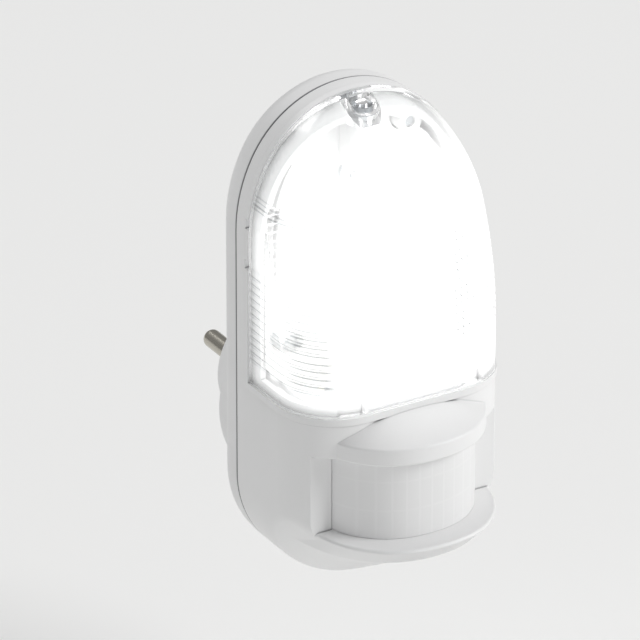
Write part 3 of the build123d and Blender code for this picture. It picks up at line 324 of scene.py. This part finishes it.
# Black glass filler: the glossy ring that keeps the cap's tip apart from its shell.
black_insulator = surface("black_glass_filler", light="151515", dark="0c0c0c", roughness=0.12,
                          pattern=noise, size_mm=0.8, relief_mm=0.02, IOR=1.52)
dress(black_insulator, "lamp_insulator")

# Solder: a dull grey bead with a soft skin.
solder = surface("tin_solder", light="a9a9a7", dark="8d8d8b", roughness=0.35, pattern=noise, size_mm=0.6,
                 relief_mm=0.03, Metallic=1.0)
dress(solder, "lamp_tip")

# Silicone sleeve: a matt off-white tube on each lead.
lead_sleeve = surface("silicone_sleeve", light="e6e5e0", dark="d5d4ce", roughness=0.65, pattern=noise,
                      size_mm=0.5, relief_mm=0.01, IOR=1.41)
dress(lead_sleeve, "lamp_leads")

# Frosted lamp glass, lit: the frost spreads the filament's light over the whole bulb.
lamp_glass = surface("lit_frosted_glass", light="f6f4ee", dark="eeebe2", roughness=0.3, pattern=noise,
                     size_mm=0.4, relief_mm=0.01, IOR=1.5,
                     **{"Emission Color": srgb("ffffff"), "Emission Strength": 1.0})
dress(lamp_glass, "lamp_glass", "lamp_stem")

# Hot tungsten coil: white-yellow from its own light, with turns about 0.1 mm apart as the wave's bands.
tungsten = surface("hot_tungsten", light="6c6861", dark="4a463f", roughness=0.4, pattern=waves, size_mm=0.3,
                   relief_mm=0.05, Metallic=1.0,
                   **{"Emission Color": srgb("ffd9a0"), "Emission Strength": 12.0})
dress(tungsten, "lamp_filament")


# ---- reflector
# A white moulded tray behind the lamp, held by three screws on posts of the back shell, throws the light
# forwards.

# Polished white ABS: bright and glossy, without the grain of the outside.
reflector_white = surface("polished_white_abs", light="f8f8f8", dark="f2f2f2", roughness=0.15,
                          pattern=noise, size_mm=6.0, relief_mm=0.02, edge_mm=0.2, IOR=1.53)
dress(reflector_white, "reflector")


# ---- front housing
# One moulding: the band round the lens, the lower front with visor and ledge, and the window's niche.
# Four screws from behind hold it to the back shell.
dress(white_abs, "front_housing")


# ---- slide switch
# A small slide switch for off, on and automatic sits behind the right wall.  Its knob, moulded white ABS,
# slides up and down in a slot of that wall.

# Knob ABS: the housing's plastic in a slightly greyer batch, worn a little smoother.
knob_abs = surface("moulded_knob_abs", light="ececea", dark="e0e0de", roughness=0.36, pattern=noise,
                   size_mm=0.35, relief_mm=0.015, edge_mm=0.2, IOR=1.53)
dress(knob_abs, "mode_switch_knob")


# ---- motion sensor and its frame
# Four headed pegs of the front housing hold a grey frame behind the window's flange.  It carries a small
# board with the sensor in its metal can; the sensor's filter and the light sensor beside it face the window.

# Grey ABS: matt, so that no stray light reaches the sensor.
grey_frame = surface("matt_grey_abs", light="cfcfce", dark="c0c0bf", roughness=0.6, pattern=noise,
                     size_mm=0.4, relief_mm=0.02, edge_mm=0.2, IOR=1.53)
dress(grey_frame, "window_frame")

# Drawn nickel steel can: warm grey, with faint marks along its length from the die.
sensor_can = surface("drawn_nickel_can", light="b8b2a4", dark="9c9689", roughness=0.3, pattern=noise,
                     size_mm=0.3, relief_mm=0.01, stretch=(3, 0.4, 3), Metallic=1.0)
dress(sensor_can, "pir_sensor")

# Silicon filter: a dark mirror with a violet cast.
sensor_filter = surface("coated_silicon", light="544a54", dark="3f3740", roughness=0.08, pattern=noise,
                        size_mm=1.5, relief_mm=0.002, Metallic=1.0)
dress(sensor_filter, "pir_filter")

# Clear epoxy: the light sensor's water-clear domed case.
sensor_epoxy = surface("clear_epoxy", light="e8ecee", dark="dde2e6", roughness=0.1, pattern=noise,
                       size_mm=1.0, relief_mm=0.01, IOR=1.55, **{"Transmission Weight": 0.7})
dress(sensor_epoxy, "light_sensor")


# ---- sensor window
# A thin half-round sheet of milky polyethylene with moulded lens strips inside, held between the frame and
# the niche.  Its strips show through as faint upright bands, crossed by two level seams.
strip_pitch = 3.4 * MM
seam_levels = (0.0 * MM, -8.0 * MM)
seam_height = 0.8
line_reach = 0.5 * MM
cloud_size = 7 * MM

# Milky polyethylene: a soft white that hides what is behind it, a little paler along the strips' joints.
milky_window, tree = new_material("moulded_milky_polyethylene")
place = add_node(tree, "ShaderNodeTexCoord").outputs["Object"]
axes = add_node(tree, "ShaderNodeSeparateXYZ", links={0: place})
strip = add_node(tree, "ShaderNodeMath", {"operation": "PINGPONG", 1: strip_pitch / 2},
                 {0: axes.outputs["X"]})
line = add_node(tree, "ShaderNodeMapRange",
                {"interpolation_type": "SMOOTHSTEP", 1: 0.0, 2: line_reach, 3: 1.0, 4: 0.0},
                {0: strip.outputs[0]}).outputs[0]
for level in seam_levels:
    off = add_node(tree, "ShaderNodeMath", {"operation": "SUBTRACT", 1: level}, {0: axes.outputs["Z"]})
    near = add_node(tree, "ShaderNodeMath", {"operation": "ABSOLUTE"}, {0: off.outputs[0]})
    seam = add_node(tree, "ShaderNodeMapRange",
                    {"interpolation_type": "SMOOTHSTEP", 1: 0.0, 2: line_reach, 3: seam_height, 4: 0.0},
                    {0: near.outputs[0]})
    line = add_node(tree, "ShaderNodeMath", {"operation": "MAXIMUM"},
                    {0: line, 1: seam.outputs[0]}).outputs[0]
cloud = add_node(tree, noise, {"Scale": 1 / cloud_size, "Detail": 3.0}, {"Vector": place})
veil = add_node(tree, "ShaderNodeMath", {"operation": "MULTIPLY"}, {0: line, 1: cloud.outputs["Fac"]})
tone = add_node(tree, "ShaderNodeMix", {"data_type": "RGBA", 6: srgb("ebebeb"), 7: srgb("f0f0f0")},
                {0: veil.outputs[0]})
ridge = add_node(tree, "ShaderNodeBump", {"Strength": 0.12, "Distance": 0.1 * MM}, {"Height": line})
shader = add_node(tree, "ShaderNodeBsdfPrincipled", {"Roughness": 0.38, "IOR": 1.51},
                  {"Base Color": tone.outputs[2], "Normal": ridge.outputs["Normal"]})
add_node(tree, "ShaderNodeOutputMaterial", links={"Surface": shader.outputs["BSDF"]})
dress(milky_window, "pir_window")


# ---- lens cover
# One clear moulding over the lamp: straight walls and a face that leans back, joined by a large rounding.
# Inside are level prism ribs at the corners and small diamonds on the face.  A screw at the top holds it with
# two latch tabs, which the housing's edge hides and this mesh leaves out.

# The outline from the front, in mm: an upright side, a haunch arc and a crown arc.
half_width, lens_low, lens_top = 30.0, 17.1, 90.2
haunch_x, haunch_z, haunch_arc = -10.0, 56.3, 40.0
crown_arc = ((haunch_arc ** 2 - haunch_x ** 2 - (lens_top - haunch_z) ** 2)
             / (2 * (haunch_arc - lens_top + haunch_z)))
crown_z = lens_top - crown_arc
haunch_turn = math.atan2(crown_z - haunch_z, -haunch_x)

# The face from the side, as depths in mm in front of the flange's rear face.  Above the bend it leans back in
# one arc.  The rim and the lower edge stand 0.2 mm off their seats, so that the joint shows as a fine line.
plug_length = 16.5
rim_depth, face_depth, crown_depth, face_bend = 20.4, 50.0, 22.7, 30.0
face_sink = face_depth - crown_depth
face_arc = ((lens_top - face_bend) ** 2 + face_sink ** 2) / (2 * face_sink)
rounding, lens_wall = 16.0, 2.0

# The grid of the skins, counted in steps; the inner skin is finer than the outer one, for its relief.
row_count, column_count, coarse = 258, 120, 3

# The relief inside: where ribs and diamonds lie, and over what length the diamonds fade at both ends.
rib_rows, rib_height, rib_inner_x = 6, 0.7, 20.5
rib_low, rib_high, rib_start = 24.0, 67.0, 5.3
diamond_cells, diamond_height, diamond_reach = 4, 0.3, 20.0
diamond_low, diamond_low_fade = 22.5, 1.5
diamond_high, diamond_high_fade = 60.0, 4.0

# The two slits in the lower edge, one over each latch: their height, their ends in x and where they start.
slit_height, slit_inner, slit_outer, slit_depth = 0.45, 14.0, 20.0, 31.0


def outline_stop(run):
    """A point on the rounding's centre line and its outward way, from the length run along the outline."""
    straight = haunch_z - lens_low
    if run <= straight:
        return Vector((half_width - rounding, 0, lens_low + run)), Vector((1, 0, 0))
    angle = (run - straight) / haunch_arc
    centre, arc = Vector((haunch_x, 0, haunch_z)), haunch_arc
    if angle > haunch_turn:
        angle = haunch_turn + (run - straight - haunch_arc * haunch_turn) / crown_arc
        centre, arc = Vector((0, 0, crown_z)), crown_arc
    way = Vector((math.cos(angle), 0, math.sin(angle)))
    return centre + (arc - rounding) * way, way


def lens_points(run, radius, count):
    """Points and outward ways from the rim over the corner to the middle line, as x, depth and z in mm."""
    core, side = outline_stop(run)
    lean = math.asin(max(0.0, core.z - face_bend) / (face_arc - rounding))
    core.y = face_depth - face_arc + (face_arc - rounding) * math.cos(lean)
    front = Vector((0, math.cos(lean), math.sin(lean)))
    turn = side.angle(front)
    start = 0.0
    if core.y < rim_depth:
        start = math.asin((rim_depth - core.y) * math.sin(turn) / (radius * math.cos(lean)))
    wall_length = max(0.0, core.y - rim_depth)
    corner_length = radius * (turn - start)
    total = wall_length + corner_length + core.x
    stops = []
    for step in range(count + 1):
        along = total * step / count
        if along <= wall_length:
            stops.append((core + radius * side + Vector((0, rim_depth - core.y + along, 0)), side))
        elif along <= wall_length + corner_length:
            angle = start + (along - wall_length) / radius
            way = (math.sin(turn - angle) * side + math.sin(angle) * front) / math.sin(turn)
            stops.append((core + radius * way, way))
        else:
            across = Vector((core.x - (along - wall_length - corner_length), core.y, core.z))
            stops.append((across + radius * front, front))
    return stops


def relief(row, column, point):
    """The height of the prism ribs or diamonds on the inner side at one grid point."""
    x, depth, z = abs(point.x), point.y, point.z
    if x > rib_inner_x:
        inside = rib_low < z < rib_high and depth > rim_depth + rib_start
        return rib_height * (row % rib_rows) / (rib_rows - 1) if inside else 0.0
    high_fade = min(1.0, max(0.0, (diamond_high - z) / diamond_high_fade))
    low_fade = min(1.0, max(0.0, (z - diamond_low) / diamond_low_fade))
    half_cell = diamond_cells // 2
    rise = 1 - max(abs(row % diamond_cells - half_cell), abs(column % diamond_cells - half_cell)) / half_cell
    return diamond_height * rise * (high_fade * low_fade) if x < diamond_reach else 0.0


lens_run = (haunch_z - lens_low) + haunch_arc * haunch_turn + crown_arc * (math.pi / 2 - haunch_turn)
weld_distance = 0.002 * MM
lens = bmesh.new()


def lens_grid(radius, rows, columns, patterned):
    """The grid of vertices of the lens's outer or inner skin, each row from the left rim to the right one."""
    grid = []
    for row in range(rows + 1):
        half = lens_points(lens_run * row / rows, radius, columns)
        line = []
        for step in range(2 * columns + 1):
            left = step < columns
            point, way = half[step if left else 2 * columns - step]
            point, way = point.copy(), way.copy()
            if patterned and 0 < step < 2 * columns:
                point -= relief(row, step, point) * way
            in_slit = slit_inner < point.x < slit_outer and point.y > slit_depth
            if in_slit and point.z < lens_low + slit_height:
                point.z = lens_low + slit_height
            side = -1 if left else 1
            line.append(lens.verts.new((side * point.x * MM, -(plug_length + point.y) * MM, point.z * MM)))
        grid.append(line)
    return grid


outer = lens_grid(rounding, row_count // coarse, column_count // coarse, False)
inner = lens_grid(rounding - lens_wall, row_count, column_count, True)
for grid in (outer, inner):
    for lower, upper in zip(grid, grid[1:]):
        for step in range(len(lower) - 1):
            lens.faces.new((lower[step], lower[step + 1], upper[step + 1], upper[step]))

# Faces along the rim and the lower edge join the two skins.  At the crown the last row of each folds onto the
# middle line, where the weld closes it.
for row in range(row_count // coarse):
    for end in (0, -1):
        fine = [inner[coarse * row + step][end] for step in range(coarse, -1, -1)]
        lens.faces.new([outer[row][end], outer[row + 1][end]] + fine)
for step in range(2 * column_count // coarse):
    fine = [inner[0][coarse * step + extra] for extra in range(coarse, -1, -1)]
    lens.faces.new([outer[0][step], outer[0][step + 1]] + fine)
bmesh.ops.remove_doubles(lens, verts=lens.verts, dist=weld_distance)
bmesh.ops.recalc_face_normals(lens, faces=lens.faces)
lens_mesh = bpy.data.meshes.new("lens_skin")
lens.to_mesh(lens_mesh)
lens.free()
lens_skin = bpy.data.objects.new("lens_skin", lens_mesh)
scene.collection.objects.link(lens_skin)


def turned_block(name, place, radius, low, high, sides):
    """A round block that stands upright, to add to the lens or to cut from it."""
    block = bmesh.new()
    bmesh.ops.create_cone(block, cap_ends=True, segments=sides, radius1=radius * MM, radius2=radius * MM,
                          depth=(high - low) * MM,
                          matrix=Matrix.Translation((0, -(plug_length + place) * MM, (low + high) / 2 * MM)))
    mesh = bpy.data.meshes.new(name)
    block.to_mesh(mesh)
    block.free()
    made = bpy.data.objects.new(name, mesh)
    scene.collection.objects.link(made)
    return made


def join(target, tool, operation):
    """Unite a block with the target or cut it away, and remove the block."""
    change = target.modifiers.new(operation, "BOOLEAN")
    change.operation = operation
    change.solver = "EXACT"
    change.object = tool
    bpy.context.view_layer.update()
    solid = bpy.data.meshes.new_from_object(target.evaluated_get(bpy.context.evaluated_depsgraph_get()))
    target.modifiers.clear()
    target.data = solid
    bpy.data.objects.remove(tool)


# The lens's screw: its boss inside, whose upper end follows the slope of the crown, and the sunk hole in it.
screw_depth = 24.0
boss_radius, boss_low, boss_high = 4.4, 82.6, 88.8
slope_start, slope_height, slope_fall = 20.0, 88.6, 0.29
pocket_radius, pocket_floor, past_crown = 3.4, 85.4, 95.0
hole_radius, hole_low, hole_high = 1.55, 80.0, 88.0
boss_sides, hole_sides = 48, 32
smooth_limit = math.radians(28)
boss = turned_block("boss", screw_depth, boss_radius, boss_low, boss_high, boss_sides)
for corner in boss.data.vertices:
    depth = -corner.co.y / MM - plug_length
    if corner.co.z > (boss_low + boss_high) / 2 * MM:
        corner.co.z = (slope_height - (depth - slope_start) * slope_fall) * MM
    if depth < rim_depth:
        corner.co.y = -(plug_length + rim_depth) * MM
join(lens_skin, boss, "UNION")
join(lens_skin, turned_block("pocket", screw_depth, pocket_radius, pocket_floor, past_crown, boss_sides),
     "DIFFERENCE")
join(lens_skin, turned_block("screw_hole", screw_depth, hole_radius, hole_low, hole_high, hole_sides),
     "DIFFERENCE")
for face in lens_skin.data.polygons:
    face.use_smooth = True
lens_skin.data.set_sharp_from_angle(angle=smooth_limit)

# Clear polystyrene, lit from behind: nearly colourless and glossy.  A painted glow stands for the lamp's
# light, most strongly in the middle of the face, and painted shade keeps the roots of ribs and diamonds grey.
rib_pitch = lens_run / row_count * rib_rows * MM
root_core, root_edge = 0.1 * MM, 0.38 * MM
diamond_half, diamond_edge = 1.0 * MM, 0.4 * MM
glow_centre = (4 * MM, -60 * MM, 44 * MM)
glow_core, glow_reach = 12 * MM, 44 * MM
glow_most, glow_least = 0.5, 0.15
ripple_size = 2.5 * MM
clear_lens, tree = new_material("moulded_clear_polystyrene")
place = add_node(tree, "ShaderNodeTexCoord").outputs["Object"]
axes = add_node(tree, "ShaderNodeSeparateXYZ", links={0: place})

# Ramps along the object's axes: the places in mm where each begins and ends, and its values there.
ramps = {}
for name, axis, begin, end, first, last in (
        ("rib_corner", "X", -21.5, -23.5, 0.0, 1.0),
        ("rib_flank", "X", -28.6, -29.6, 1.0, 0.4),
        ("low_ribs_from", "Z", 22.0, 23.5, 0.0, 1.0),
        ("low_ribs_to", "Z", 50.0, 47.0, 0.0, 1.0),
        ("high_ribs_from", "Z", 63.0, 64.5, 0.0, 1.0),
        ("high_ribs_to", "Z", 69.0, 66.0, 0.0, 1.0),
        ("diamonds_side", "X", 4.0, 14.0, 0.0, 0.85),
        ("diamonds_from", "Z", 26.0, 34.0, 0.0, 1.0),
        ("diamonds_to", "Z", 62.0, 54.0, 0.0, 1.0),
        ("rim", "Y", -(plug_length + 21.0), -(plug_length + 23.4), 0.3, 1.0),
        ("foot", "Z", 17.6, 20.0, 0.3, 1.0)):
    ramps[name] = add_node(tree, "ShaderNodeMapRange", {1: begin * MM, 2: end * MM, 3: first, 4: last},
                           {0: axes.outputs[axis]}).outputs[0]

# Painted shade: grey lines at the ribs' roots, in two bands of the left corner.
from_edge = add_node(tree, "ShaderNodeMath", {"operation": "SUBTRACT", 1: lens_low * MM},
                     {0: axes.outputs["Z"]})
saw = add_node(tree, "ShaderNodeMath", {"operation": "PINGPONG", 1: rib_pitch / 2},
               {0: from_edge.outputs[0]})
root = add_node(tree, "ShaderNodeMapRange", {1: root_core, 2: root_edge, 3: 1.0, 4: 0.0},
                {0: saw.outputs[0]})
across = add_node(tree, "ShaderNodeMath", {"operation": "MULTIPLY"},
                  {0: ramps["rib_corner"], 1: ramps["rib_flank"]})
bands = []
for name in ("low_ribs", "high_ribs"):
    bands.append(add_node(tree, "ShaderNodeMath", {"operation": "MULTIPLY"},
                          {0: ramps[name + "_from"], 1: ramps[name + "_to"]}).outputs[0])
along = add_node(tree, "ShaderNodeMath", {"operation": "ADD"}, {0: bands[0], 1: bands[1]})
held = add_node(tree, "ShaderNodeMath", {"operation": "MULTIPLY"},
                {0: along.outputs[0], 1: across.outputs[0]})
rib_shade_lines = add_node(tree, "ShaderNodeMath", {"operation": "MULTIPLY"},
                     {0: held.outputs[0], 1: root.outputs[0]})

# Painted shade: a net of slanting grey lines between the diamonds, on the right half of the face.
slants = []
for operation in ("ADD", "SUBTRACT"):
    slant = add_node(tree, "ShaderNodeMath", {"operation": operation},
                     {0: axes.outputs["X"], 1: axes.outputs["Z"]})
    fold = add_node(tree, "ShaderNodeMath", {"operation": "PINGPONG", 1: diamond_half},
                    {0: slant.outputs[0]})
    slants.append(add_node(tree, "ShaderNodeMapRange", {1: 0.0, 2: diamond_edge, 3: 1.0, 4: 0.0},
                           {0: fold.outputs[0]}).outputs[0])
net = add_node(tree, "ShaderNodeMath", {"operation": "MAXIMUM"}, {0: slants[0], 1: slants[1]})
net_band = add_node(tree, "ShaderNodeMath", {"operation": "MULTIPLY"},
                    {0: ramps["diamonds_from"], 1: ramps["diamonds_to"]})
net_area = add_node(tree, "ShaderNodeMath", {"operation": "MULTIPLY"},
                    {0: net_band.outputs[0], 1: ramps["diamonds_side"]})
net_shade_lines = add_node(tree, "ShaderNodeMath", {"operation": "MULTIPLY"},
                     {0: net.outputs[0], 1: net_area.outputs[0]})
painted_line_shade = add_node(tree, "ShaderNodeMath", {"operation": "MAXIMUM"},
               {0: rib_shade_lines.outputs[0], 1: net_shade_lines.outputs[0]})

# The painted glow: it weakens away from the lamp, on the painted lines, and towards the rim and the lower
# edge.
from_glow_centre = add_node(tree, "ShaderNodeVectorMath", {"operation": "DISTANCE", 1: glow_centre}, {0: place})
spread = add_node(tree, "ShaderNodeMapRange", {1: glow_core, 2: glow_reach, 3: glow_most, 4: glow_least},
                  {0: from_glow_centre.outputs["Value"]})
unlined = add_node(tree, "ShaderNodeMapRange", {3: 1.0, 4: 0.0}, {0: painted_line_shade.outputs[0]})
lined_glow = add_node(tree, "ShaderNodeMath", {"operation": "MULTIPLY"},
                      {0: spread.outputs[0], 1: unlined.outputs[0]})
# Painted shade: the glow drops towards the rim and the lower edge.
beyond_rim_shade = add_node(tree, "ShaderNodeMath", {"operation": "MULTIPLY"},
                     {0: ramps["rim"], 1: ramps["foot"]})
# Painted light: the lens glows by emission, though it is no lamp.
painted_glow = add_node(tree, "ShaderNodeMath", {"operation": "MULTIPLY"},
                {0: lined_glow.outputs[0], 1: beyond_rim_shade.outputs[0]})
ripple = add_node(tree, noise, {"Scale": 1 / ripple_size, "Detail": 1.0}, {"Vector": place})
bump = add_node(tree, "ShaderNodeBump", {"Strength": 0.2, "Distance": 0.02 * MM},
                {"Height": ripple.outputs["Fac"]})
# Painted shade: the lines turn the lens's colour grey.
tint = add_node(tree, "ShaderNodeMix", {"data_type": "RGBA", 6: srgb("fbfcfc"), 7: srgb("b9bdc0")},
                {0: painted_line_shade.outputs[0]})
shader = add_node(tree, "ShaderNodeBsdfPrincipled",
                  {"Roughness": 0.08, "IOR": 1.58, "Transmission Weight": 1.0,
                   "Emission Color": srgb("ffffff")},
                  {"Base Color": tint.outputs[2], "Emission Strength": painted_glow.outputs[0],
                   "Normal": bump.outputs["Normal"]})
add_node(tree, "ShaderNodeOutputMaterial", links={"Surface": shader.outputs["BSDF"]})
lens_skin.data.materials.clear()
lens_skin.data.materials.append(clear_lens)
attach(lens_skin, "root")
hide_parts("lens_cover")
